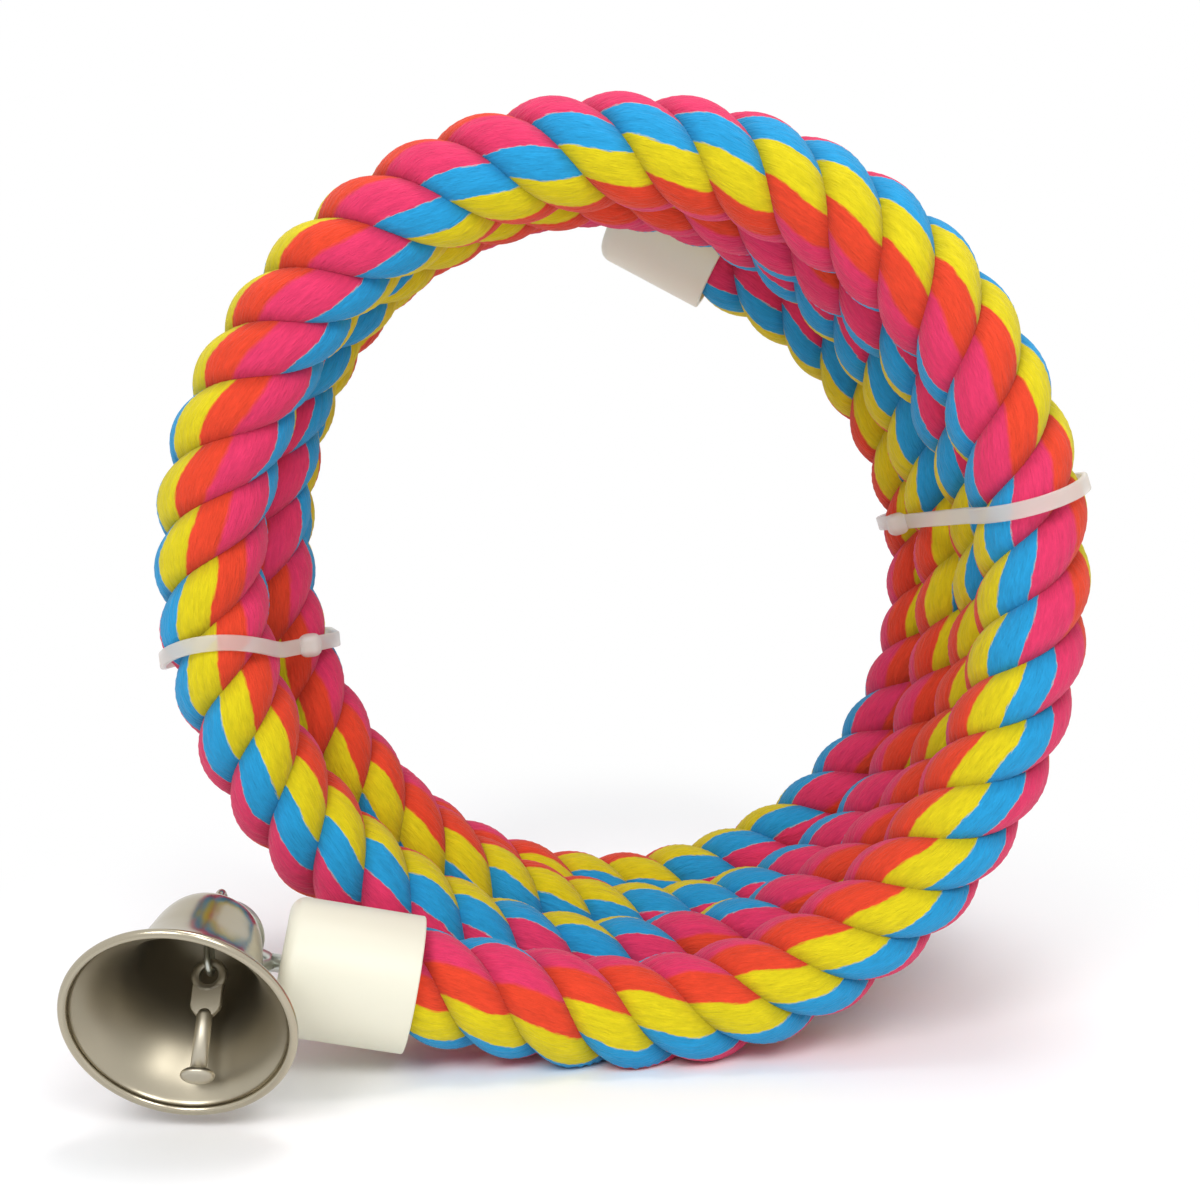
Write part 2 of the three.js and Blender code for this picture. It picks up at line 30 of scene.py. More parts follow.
# Camera, in millimetres and degrees
SENSOR_WIDTH = 36
LENS = 54
CLIP_START = 10
CAMERA_PLACE = (-12.86, -409.53, 163.9)
CAMERA_TILT = 81.0
CAMERA_YAW = -1.3

camera_data = bpy.data.cameras.new("camera")
camera_data.sensor_width = SENSOR_WIDTH
camera_data.lens = LENS
camera_data.clip_start = CLIP_START * MM
camera = bpy.data.objects.new("camera", camera_data)
camera.location = Vector(CAMERA_PLACE) * MM
camera.rotation_euler = (math.radians(CAMERA_TILT), 0, math.radians(CAMERA_YAW))
bpy.context.scene.collection.objects.link(camera)
bpy.context.scene.camera = camera

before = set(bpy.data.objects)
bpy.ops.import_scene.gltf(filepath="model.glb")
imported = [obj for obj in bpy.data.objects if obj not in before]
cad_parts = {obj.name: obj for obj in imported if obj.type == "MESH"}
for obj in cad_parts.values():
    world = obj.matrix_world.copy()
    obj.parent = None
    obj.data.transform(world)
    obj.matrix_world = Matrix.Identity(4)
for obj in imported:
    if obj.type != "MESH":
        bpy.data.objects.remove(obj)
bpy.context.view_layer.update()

# Rope and coil, in millimetres and degrees. The lists have one value a turn
ROPE_DIAMETER = 25
FLAT_DEPTH = ROPE_DIAMETER / 10
COIL_START = -101.7
COIL_STEPS = 83
STEP_ANGLE = 15
COIL_END = COIL_START + COIL_STEPS * STEP_ANGLE
TURN_PITCH = 25.6
TURN_RADIUS = [87.5, 94.5, 88, 91.5, 80]
TURN_SHIFT = [5, -1.5, 1.5, -2, -3]
TURN_OVAL = [-3.5, -1.5, -2.5, -3.5, 0.5]
TURN_LEAN = [1.5, -1.5, -4.5, -1, -9.5]
SPREAD_ARC = 70
LOWER_SPREAD = 2
UPPER_SPREAD = 4
LOWER_STRAIGHT = 34
UPPER_STRAIGHT = 8
ROPE_GRIP = 18

# Steps along the rope: degrees round the coil, how many on each straight end and how far these keep
# from the coil, and how many steps are smoothed together
PATH_ANGLE = 0.5
LOWER_STEPS = 46
UPPER_STEPS = 26
END_GAP = 0.6
SMOOTH_STEPS = 9

# Strands, in millimetres. A unit of the yarns' map is YARN_UNIT along the rope
STRANDS = 3
STRAND_LAY = 43
STRAND_RADIUS = 6.35
STRAND_PROUD = 0.1
STRAND_OFFSET = ROPE_DIAMETER / 2 - STRAND_RADIUS + STRAND_PROUD
STRAND_SIDES = 28
STRAND_STEP = 1.1
YARN_UNIT = 10
STRAND_SEED = 11
# A strand swells unevenly, by drawn values: how far apart they are, their spread, and how many
# millimetres one of 1 is
SWELL_SPACING = 9
SWELL_SPREAD = 0.5
SWELL = 0.22
# STRAND_LAY / (2 * COLOUR_CYCLE) is how much more than one cycle of the colours goes round a strand
COLOUR_CYCLE = 200
# How far the strands' colours are apart and wander along the rope, in cycles, and over what lengths
COLOUR_LAG = 0.07
COLOUR_WANDER = 0.05
WANDER_SPACING = 60
WANDER_PLACES = 40
# The rope's colour is darkened towards the grooves between strands as painted shade, to match the
# photo's contrast there: from and to how many radians round a strand from its crest, and how much
CREASE_FROM = 0.7
CREASE_TO = 1.5
CREASE_SHADE = 0.42
# Colour on the rope's outermost side, in cycles of pink, blue, yellow and orange, by degrees round
# the coil
COLOUR_PLACES = [
    (-150, 0.3), (-90, -0.03), (-50, -0.09), (-20, -0.18), (15, -0.5), (40, -0.73), (72, -1.0),
    (110, -1.27), (130, -1.5), (160, -1.73), (195, -2.0), (220, -2.27), (1200, -10.0),
]

# Caps and hardware, in millimetres and degrees. ON_AXIS stands for a radius of 0 in turned
# outlines, so that no face of theirs is without a side
GAP = 0.3
ON_AXIS = 0.01
CAP_BORE = 12.86
CAP_RADIUS = 15.01
CAP_LENGTH = 29.5
CAP_MOUTH_DEPTH = 1.0
CAP_MOUTH_SLOPE = 0.35
CAP_LIP_ROUND = 0.45
CAP_END_ROUND = 3.5
CAP_END_THICKNESS = 2.5
CAP_SHARP_EDGE = 50
EYE_WIRE = 2.6
EYE_RADIUS = 4.2
EYE_CLEAR = 0.8
EYE_MIDDLE = CAP_LENGTH + EYE_CLEAR + EYE_WIRE / 2 + EYE_RADIUS
EYE_FAR = EYE_MIDDLE + EYE_RADIUS
BOLT_DIAMETER = 4
BOLT_HOLE_RADIUS = 2.3
BOLT_START = 21
RING_WIRE = 2.8
RING_RADIUS = 7.4
RING_LEAN = 34
RING_TOP = 14
LINK_WIRE = 3.2
LINK_HALF_WIDTH = 6.5
LINK_STRAIGHT = 25
LINK_GATE = 8
LINK_GATE_SHIFT = 0.5
LINK_HANG = 36
LINK_STEPS = 24
LINK_STATIONS = 150
SLEEVE_LENGTH = 12

# Cable ties, in millimetres. TIE_HEAD is how thick, long and wide the head is, and TIE_HEAD_SUNK
# how far the strap stands out of it towards the rope. TIE_PLACES has each tie's angle round the
# coil, how many degrees it falls back from one turn to the next, how many its strap is turned from
# square to the rope, its head's distance from the last row that it binds, and how far its strap
# bows up on the front row
TIE_WIDTH = 3.6
TIE_THICKNESS = 1.3
TIE_ROUND = 0.4
TIE_INNER = 12.5
TIE_CIRCLE_STEPS = 60
TIE_STEP = 0.8
TIE_BOW_POWER = 1.5
TIE_HEAD = (4.9, 6.2, 5.4)
TIE_HEAD_ROUND = 1.8
TIE_HEAD_SUNK = 0.6
TIE_PLACES = {"right": (14, 2, 6, 26, -1.5), "left": (191.5, -2, -8, 43, 3.7)}

# Bell, its outline as radius and height above the mouth
BELL_HEIGHT = 34
BELL_WALL = 1.0
BELL_DIP = 20
BELL_YAW = 4
BELL_SEGMENTS = 160
BELL_OUTSIDE = [
    (22.3, 2.5), (19.7, 5), (17.5, 8), (15.3, 12), (13.6, 17),
    (12.5, 22), (11.3, 27), (9.6, 30.5), (6.7, 32.8), (2.9, 34),
]
BELL_CURVE_STEPS = 6
RIM_RADIUS = 22.95
RIM_HEIGHT = 1.0
RIM_ROUND = 0.98
RIM_FROM = 60
RIM_TO = -200
CROWN_HOLE_RADIUS = 2.1
# The inside's points stay this far from the hole
CROWN_CLEAR = 0.1
# The bell's painted shade is 1 outside. Inside, to match the photo, it is less: this much at the
# crown, this much more at the mouth, and the power by which it rises between them
INSIDE_SHADE = 0.58
INSIDE_RISE = 0.34
INSIDE_POWER = 1.5
HANGER_WIRE = 1.8
HANGER_RADIUS = 2.8
HANGER_HEIGHT = GAP + HANGER_WIRE / 2 + HANGER_RADIUS
INNER_LOOP_WIRE = 1.4
INNER_LOOP_RADIUS = 2.4
INNER_LOOP_HEIGHT = -(BELL_WALL + GAP + INNER_LOOP_WIRE / 2 + INNER_LOOP_RADIUS)

# Hook and clapper
HOOK_WIRE = 1.4
HOOK_HALF_WIDTH = 2.3
HOOK_LENGTH = 9.3
HOOK_DIP = 28
HOOK_LEAN = 10
HOOK_TOP = (INNER_LOOP_WIRE + HOOK_WIRE) / 2 + GAP
HOOK_BOTTOM = HOOK_TOP - HOOK_LENGTH
CLAPPER_LEAN = -8
CLAPPER_HEAD = 7.3
CLAPPER_HEAD_THICKNESS = 1.5
CLAPPER_HEAD_EDGE = 0.25
CLAPPER_HOLE = 4
CLAPPER_HOLE_EDGE = 0.2
CLAPPER_PLATE_WIDTH = 6.4
CLAPPER_PLATE_LENGTH = 8.5
CLAPPER_PLATE_EDGE = 0.2
CLAPPER_PLATE_OVERLAP = 0.1
CLAPPER_SHOULDER = 1.2
CLAPPER_SHOULDER_ROUND = (0.35, 0.9)
CLAPPER_NECK = 0.2
CLAPPER_SHANK = 3.3
CLAPPER_KNOB = 7
CLAPPER_KNOB_HEIGHT = 3
CLAPPER_LENGTH = 21.8

# Looks. Colours are linear, COLOUR_STOPS has them by their place in a cycle, and the depths of
# bumps are in metres
PINK = (0.84, 0.044, 0.150, 1)
BLUE = (0.020, 0.36, 0.72, 1)
YELLOW = (0.80, 0.66, 0.008, 1)
ORANGE = (0.86, 0.066, 0.024, 1)
PALE = (0.42, 0.55, 0.55, 1)
COLOUR_STOPS = [
    (0.0, PINK), (0.152, PINK), (0.156, PALE), (0.160, BLUE), (0.377, BLUE), (0.381, PALE),
    (0.385, YELLOW), (0.618, YELLOW), (0.632, ORANGE), (0.838, ORANGE), (0.868, PINK), (1.0, PINK),
]
# Fibres of the rope: noise cells in a colour cycle round a strand, and in a unit of the yarns' map
FINE_FIBRES = (95.0, 9.0)
COARSE_FIBRES = (22.0, 3.0)
SLOW_FIBRES = (0.0, 1.2)
FIBRE_DETAIL = 2.0
FIBRE_ROUGHNESS = 0.6
BORDER_WOBBLE = 0.035
BORDER_DRIFT = 0.10
# How bright the yarns' colours are kept, with no fibre noise and for each of its two parts
ROPE_VALUE = 0.50
ROPE_FINE_VALUE = 0.34
ROPE_COARSE_VALUE = 0.36
ROPE_ROUGHNESS = 0.82
ROPE_SPECULAR = 0.15
ROPE_SHEEN = 0.12
ROPE_SHEEN_ROUGHNESS = 0.5
ROPE_BUMP = 0.55
ROPE_BUMP_DEPTH = 0.0011
ROPE_FINE_BUMP = 0.5
PLAIN_DETAIL = 4.0
PLAIN_BUMP_DEPTH = 0.0003
NICKEL = (0.50, 0.46, 0.38, 1)
# The bell's colours at a painted shade of 0 and of 1, its roughness at 0, how much less that is at
# 1, and the power of the shade by which it falls
BELL_DARK = (0.035, 0.027, 0.016, 1)
BELL_LIGHT = (0.44, 0.395, 0.30, 1)
BELL_ROUGHNESS = 0.50
BELL_POLISH = 0.28
BELL_POLISH_POWER = 6

# Floor. Its size and height are in millimetres. It fades to plain white between two distances from
# the middle, in metres, which FLOOR_STRETCH makes longer along Y
FLOOR_HALF_WIDTH = 4000
FLOOR_HEIGHT = -0.3
FLOOR_COLOUR = (0.98, 0.98, 0.98, 1)
FLOOR_ROUGHNESS = 0.9
FLOOR_STRETCH = (1.0, 0.8, 0.0)
FADE_FROM = 0.10
FADE_TO = 0.20
# The light from all round: its colours at two heights between 0, straight below, and 1, straight
# above
SKY_LOW = (0.45, (0.20, 0.19, 0.18, 1))
SKY_HIGH = (0.95, (0.70, 0.72, 0.75, 1))
# Lamps, in metres and watts
LAMP_TARGET = (0, 0, 0.1)
LAMP_SIZE = 0.5
LAMPS = [
    ("key", (-0.45, -0.85, 0.85), 5.0),
    ("fill", (0.30, -0.85, 0.90), 4.4),
    ("top", (0.1, 0.1, 1.2), 3.6),
]


def along_coil(values, turns):
    """A value along the coil, from one value a turn, without corners."""
    last = len(values) - 1

    def at(i):
        if i < 0:
            return 2 * values[0] - values[1]
        if i > last:
            return 2 * values[last] - values[last - 1]
        return values[i]

    i = min(max(math.floor(turns), 0), last - 1)
    t = turns - i
    slope_in = (at(i + 1) - at(i - 1)) / 2
    slope_out = (at(i + 2) - at(i)) / 2
    t2, t3 = t * t, t * t * t
    return ((2 * t3 - 3 * t2 + 1) * at(i) + (t3 - 2 * t2 + t) * slope_in
            + (3 * t2 - 2 * t3) * at(i + 1) + (t3 - t2) * slope_out)


def coil_point(degrees):
    """Centre of the rope at an angle round the coil, in millimetres, before the coil is placed."""
    turns = (degrees - COIL_START) / 360
    a = math.radians(degrees)
    radius = along_coil(TURN_RADIUS, turns)
    oval = along_coil(TURN_OVAL, turns)
    reach = radius + oval * math.cos(2 * a) + along_coil(TURN_LEAN, turns) * math.sin(2 * a)
    into_start = max(0, COIL_START + SPREAD_ARC - degrees) / SPREAD_ARC
    into_end = max(0, degrees - COIL_END + SPREAD_ARC) / SPREAD_ARC
    return np.array([
        reach * math.cos(a) + along_coil(TURN_SHIFT, turns),
        TURN_PITCH * turns + UPPER_SPREAD * into_end ** 2 - LOWER_SPREAD * into_start ** 2,
        reach * math.sin(a) + radius - oval + ROPE_DIAMETER / 2 - FLAT_DEPTH,
    ])


base = coil_point(270)
PLACE = np.array([-base[0], -base[1], 0])


def unit(v):
    return v / np.linalg.norm(v)


def tangent(degrees):
    return unit(coil_point(degrees + 0.5) - coil_point(degrees - 0.5))


def lengths_along(points):
    """How far each point of a row is along it."""
    return np.concatenate([[0], np.cumsum(np.linalg.norm(np.diff(points, axis=0), axis=1))])


def sampled(points, lengths, s):
    """A row of points at the lengths s along it."""
    return np.stack([np.interp(s, lengths, points[:, k]) for k in range(points.shape[1])], axis=1)


def rope_path():
    """Even steps along the rope: points, outward and sideways directions, angles and lengths."""
    first, last = coil_point(COIL_START) + PLACE, coil_point(COIL_END) + PLACE
    points, outs, angles = [], [], []

    def outward(degrees):
        a = math.radians(degrees)
        return np.array([math.cos(a), 0, math.sin(a)])

    for d in np.linspace(LOWER_STRAIGHT + ROPE_GRIP, END_GAP, LOWER_STEPS):
        points.append(first - tangent(COIL_START) * d)
        outs.append(outward(COIL_START))
        angles.append(COIL_START - math.degrees(d / TURN_RADIUS[0]))
    for degrees in np.arange(COIL_START, COIL_END + 0.01, PATH_ANGLE):
        points.append(coil_point(degrees) + PLACE)
        outs.append(outward(degrees))
        angles.append(degrees)
    for d in np.linspace(END_GAP, UPPER_STRAIGHT + ROPE_GRIP, UPPER_STEPS):
        points.append(last + tangent(COIL_END) * d)
        outs.append(outward(COIL_END))
        angles.append(COIL_END + math.degrees(d / TURN_RADIUS[-1]))
    points, outs = np.array(points), np.array(outs)
    lengths = lengths_along(points)
    s = np.linspace(0, lengths[-1], int(lengths[-1] / STRAND_STEP))
    centre, out = sampled(points, lengths, s), sampled(outs, lengths, s)
    kernel = np.hanning(SMOOTH_STEPS) / np.hanning(SMOOTH_STEPS).sum()
    side = SMOOTH_STEPS // 2
    before, after = 2 * centre[0] - centre[side:0:-1], 2 * centre[-1] - centre[-2:-side - 2:-1]
    padded = np.concatenate([before, centre, after])
    centre = np.stack([np.convolve(padded[:, k], kernel, "valid") for k in range(3)], axis=1)
    ahead = np.gradient(centre, axis=0)
    ahead /= np.linalg.norm(ahead, axis=1)[:, None]
    out -= (out * ahead).sum(1)[:, None] * ahead
    out /= np.linalg.norm(out, axis=1)[:, None]
    return centre, out, np.cross(ahead, out), np.interp(s, lengths, angles), s


def new_mesh(name, points, faces, smooth=True):
    """An object from points in millimetres."""
    mesh = bpy.data.meshes.new(name)
    mesh.from_pydata([tuple(p) for p in np.asarray(points, float) * MM], [], faces)
    mesh.update()
    if smooth:
        mesh.shade_smooth()
    obj = bpy.data.objects.new(name, mesh)
    bpy.context.scene.collection.objects.link(obj)
    return obj


def grid_faces(rings, sides, closed=False):
    """Faces between rings of points, with two ends unless the rings close on themselves."""
    faces = []
    spans = rings if closed else rings - 1
    for i in range(spans):
        a, b = i * sides, ((i + 1) % rings) * sides
        for k in range(sides):
            n = (k + 1) % sides
            faces.append((a + k, a + n, b + n, b + k))
    if not closed:
        faces.append(tuple(range(sides - 1, -1, -1)))
        faces.append(tuple(range((rings - 1) * sides, rings * sides)))
    return faces


def placed(points, matrix):
    points = np.asarray(points, float)
    m = np.array(matrix)
    return points @ m[:3, :3].T + m[:3, 3]


def frame_matrix(x, y, z, origin):
    m = np.eye(4)
    m[:3, 0], m[:3, 1], m[:3, 2], m[:3, 3] = x, y, z, origin
    return m


def shift(x, y, z):
    m = np.eye(4)
    m[:3, 3] = x, y, z
    return m


def turn(axis, degrees):
    return np.array(Matrix.Rotation(math.radians(degrees), 4, axis))


def on_angle(degrees, radius):
    """A point of a circle in local XZ."""
    a = math.radians(degrees)
    return np.array([radius * math.cos(a), 0, radius * math.sin(a)])


def turned(name, outline, matrix, segments):
    """A turned piece about local Z from a closed outline."""
    points = []
    for r, h in outline:
        for k in range(segments):
            a = 2 * math.pi * k / segments
            points.append((r * math.cos(a), r * math.sin(a), h))
    faces = grid_faces(len(outline), segments, closed=True)
    return new_mesh(name, placed(points, matrix), faces)


def rod(name, radius, low, high, matrix, segments):
    """A straight round bar along local Z."""
    outline = [(ON_AXIS, low), (radius, low), (radius, high), (ON_AXIS, high)]
    return turned(name, outline, matrix, segments)


def tube(name, stations, radius, matrix, closed=False, sides=20):
    """A round wire along points in local millimetres that lie square to local Y."""
    stations = np.asarray(stations, float)
    if closed:
        ahead = np.roll(stations, -1, axis=0) - np.roll(stations, 1, axis=0)
    else:
        ahead = np.gradient(stations, axis=0)
    ahead /= np.linalg.norm(ahead, axis=1)[:, None]
    side = np.cross(ahead, np.array([0.0, 1.0, 0.0]))
    side /= np.linalg.norm(side, axis=1)[:, None]
    top = np.cross(side, ahead)
    a = np.linspace(0, 2 * math.pi, sides, endpoint=False)
    rings = (stations[:, None] + radius * (np.cos(a)[None, :, None] * side[:, None]
                                           + np.sin(a)[None, :, None] * top[:, None]))
    points = placed(rings.reshape(-1, 3), matrix)
    return new_mesh(name, points, grid_faces(len(stations), sides, closed))


def circle(radius, steps, middle=(0, 0, 0)):
    a = np.linspace(0, 2 * math.pi, steps, endpoint=False)
    return np.stack([radius * np.cos(a), 0 * a, radius * np.sin(a)], axis=1) + np.array(middle)


def stadium(half_width, straight, steps, middle):
    """Two half circles in local XZ with straight sides between them."""
    points = []
    for end in (1, -1):
        for k in range(steps + 1):
            a = k * math.pi / steps
            height = end * (half_width * math.sin(a) + straight / 2) + middle
            points.append((end * half_width * math.cos(a), 0, height))
    return points


def arc(cx, cy, r, a0, a1, steps):
    return [(cx + r * math.cos(math.radians(a0 + (a1 - a0) * k / steps)),
             cy + r * math.sin(math.radians(a0 + (a1 - a0) * k / steps))) for k in range(steps + 1)]


def merge(first, *others):
    """Moves the other objects' meshes into the first."""
    bm = bmesh.new()
    bm.from_mesh(first.data)
    for other in others:
        bm.from_mesh(other.data)
        bpy.data.objects.remove(other)
    bm.to_mesh(first.data)
    bm.free()


# Materials
def material(name):
    m = bpy.data.materials.new(name)
    m.use_nodes = True
    nodes, links = m.node_tree.nodes, m.node_tree.links
    return m, nodes, links, nodes["Principled BSDF"]


def math_node(nodes, links, operation, a, b=None):
    n = nodes.new("ShaderNodeMath")
    n.operation = operation
    for socket, value in zip(n.inputs, (a, b)):
        if value is None:
            continue
        if isinstance(value, (int, float)):
            socket.default_value = value
        else:
            links.new(value, socket)
    return n.outputs[0]


def fill_ramp(ramp, stops):
    elements = ramp.color_ramp.elements
    elements[0].position, elements[0].color = stops[0]
    elements[1].position, elements[1].color = stops[-1]
    for position, colour in stops[1:-1]:
        elements.new(position).color = colour


def rope_material():
    """Four colours round each strand, with soft borders, fine fibres along the rope, and painted
    shade in the grooves.
    """
    m, nodes, links, bsdf = material("rope")

    def maths(operation, a, b):
        return math_node(nodes, links, operation, a, b)

    uv = nodes.new("ShaderNodeUVMap")
    uv.uv_map = "yarn"
    split = nodes.new("ShaderNodeSeparateXYZ")
    links.new(uv.outputs[0], split.inputs[0])
    phase, length = split.outputs[0], split.outputs[1]

    def fibres(across, lengthways):
        xyz = nodes.new("ShaderNodeCombineXYZ")
        links.new(maths("MULTIPLY", phase, across), xyz.inputs[0])
        links.new(maths("MULTIPLY", length, lengthways), xyz.inputs[1])
        noise = nodes.new("ShaderNodeTexNoise")
        noise.inputs["Scale"].default_value = 1.0
        noise.inputs["Detail"].default_value = FIBRE_DETAIL
        noise.inputs["Roughness"].default_value = FIBRE_ROUGHNESS
        links.new(xyz.outputs[0], noise.inputs["Vector"])
        return noise.outputs[0]

    fine = fibres(*FINE_FIBRES)
    coarse = fibres(*COARSE_FIBRES)
    wobble = maths("MULTIPLY", maths("SUBTRACT", fine, 0.5), BORDER_WOBBLE)
    slow = maths("MULTIPLY", maths("SUBTRACT", fibres(*SLOW_FIBRES), 0.5), BORDER_DRIFT)
    place = maths("ADD", maths("ADD", phase, wobble), slow)
    ramp = nodes.new("ShaderNodeValToRGB")
    ramp.color_ramp.interpolation = "LINEAR"
    fill_ramp(ramp, COLOUR_STOPS)
    links.new(math_node(nodes, links, "FRACT", place), ramp.inputs[0])

    shade = nodes.new("ShaderNodeHueSaturation")
    links.new(ramp.outputs[0], shade.inputs["Color"])
    value = maths("ADD", maths("MULTIPLY", fine, ROPE_FINE_VALUE), ROPE_VALUE)
    value = maths("ADD", value, maths("MULTIPLY", coarse, ROPE_COARSE_VALUE))
    # Painted shade: the colour is darker towards the grooves between strands
    painted_groove_shade = nodes.new("ShaderNodeAttribute")
    painted_groove_shade.attribute_name = "painted_groove_shade"
    darkening = maths("MULTIPLY", painted_groove_shade.outputs["Fac"], CREASE_SHADE)
    value = maths("MULTIPLY", value, maths("SUBTRACT", 1.0, darkening))
    links.new(value, shade.inputs["Value"])
    links.new(shade.outputs[0], bsdf.inputs["Base Color"])
    bsdf.inputs["Roughness"].default_value = ROPE_ROUGHNESS
    bsdf.inputs["Specular IOR Level"].default_value = ROPE_SPECULAR
    bsdf.inputs["Sheen Weight"].default_value = ROPE_SHEEN
    bsdf.inputs["Sheen Roughness"].default_value = ROPE_SHEEN_ROUGHNESS

    bump = nodes.new("ShaderNodeBump")
    bump.inputs["Strength"].default_value = ROPE_BUMP
    bump.inputs["Distance"].default_value = ROPE_BUMP_DEPTH
    links.new(maths("ADD", maths("MULTIPLY", fine, ROPE_FINE_BUMP), coarse), bump.inputs["Height"])
    links.new(bump.outputs[0], bsdf.inputs["Normal"])
    return m


def plain(name, colour, roughness, metallic=0.0, noise_scale=900.0, amount=0.1, bump=0.0,
          extra=None):
    """One colour, with a roughness that varies a little."""
    m, nodes, links, bsdf = material(name)
    coords = nodes.new("ShaderNodeTexCoord")
    noise = nodes.new("ShaderNodeTexNoise")
    noise.inputs["Scale"].default_value = noise_scale
    noise.inputs["Detail"].default_value = PLAIN_DETAIL
    links.new(coords.outputs["Object"], noise.inputs["Vector"])
    varied = math_node(nodes, links, "MULTIPLY", noise.outputs[0], amount)
    rough = math_node(nodes, links, "ADD", varied, roughness - amount / 2)
    links.new(rough, bsdf.inputs["Roughness"])
    bsdf.inputs["Base Color"].default_value = colour
    bsdf.inputs["Metallic"].default_value = metallic
    if bump:
        b = nodes.new("ShaderNodeBump")
        b.inputs["Strength"].default_value = bump
        b.inputs["Distance"].default_value = PLAIN_BUMP_DEPTH
        links.new(noise.outputs[0], b.inputs["Height"])
        links.new(b.outputs[0], bsdf.inputs["Normal"])
    for key, value in (extra or {}).items():
        bsdf.inputs[key].default_value = value
    return m


def bell_material():
    """Nickel that is darker, as painted shade, and duller where the bell's shade is less than 1,
    which is inside.
    """
    m = plain("bell_nickel", NICKEL, 0.22, metallic=1.0, noise_scale=350, amount=0.09, bump=0.03)
    nodes, links = m.node_tree.nodes, m.node_tree.links
    bsdf = nodes["Principled BSDF"]
    # Painted shade: the inside is darker towards the crown
    shade = nodes.new("ShaderNodeAttribute")
    shade.attribute_name = "shade"
    tint = nodes.new("ShaderNodeMix")
    tint.data_type = "RGBA"
    tint.inputs["A"].default_value = BELL_DARK
    tint.inputs["B"].default_value = BELL_LIGHT
    links.new(shade.outputs["Fac"], tint.inputs["Factor"])
    links.new(tint.outputs["Result"], bsdf.inputs["Base Color"])
    polish = math_node(nodes, links, "POWER", shade.outputs["Fac"], BELL_POLISH_POWER)
    polish = math_node(nodes, links, "MULTIPLY", polish, BELL_POLISH)
    rough = math_node(nodes, links, "SUBTRACT", BELL_ROUGHNESS, polish)
    links.new(rough, bsdf.inputs["Roughness"])
    return m


rope_look = rope_material()
cap_look = plain("cap", (0.80, 0.78, 0.64, 1), 0.42, noise_scale=260, amount=0.12, bump=0.05)
nylon_look = plain("nylon", (0.84, 0.81, 0.75, 1), 0.32, noise_scale=400, amount=0.1,
                   extra={"Subsurface Weight": 0.35, "Subsurface Radius": (0.004, 0.0035, 0.003),
                          "Transmission Weight": 0.3, "Alpha": 0.6})
zinc_look = plain("zinc", (0.54, 0.56, 0.51, 1), 0.34, metallic=1.0, noise_scale=700, amount=0.16,
                  bump=0.06)
nickel_look = plain("nickel", NICKEL, 0.24, metallic=1.0, noise_scale=350, amount=0.09, bump=0.03)
bell_look = bell_material()
clapper_look = plain("clapper_zinc", (0.50, 0.46, 0.37, 1), 0.42, metallic=1.0, noise_scale=700,
                     amount=0.16, bump=0.06)
steel_look = plain("steel", (0.5, 0.5, 0.49, 1), 0.4, metallic=1.0)


def finish(obj, look, body, slot, *replaced):
    """Gives a piece its look and its body, and hides the CAD pieces that it takes the place of. The
    slot is not used.
    """
    obj.data.materials.clear()
    obj.data.materials.append(look)
    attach(obj, body)
    if replaced:
        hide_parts(*replaced)


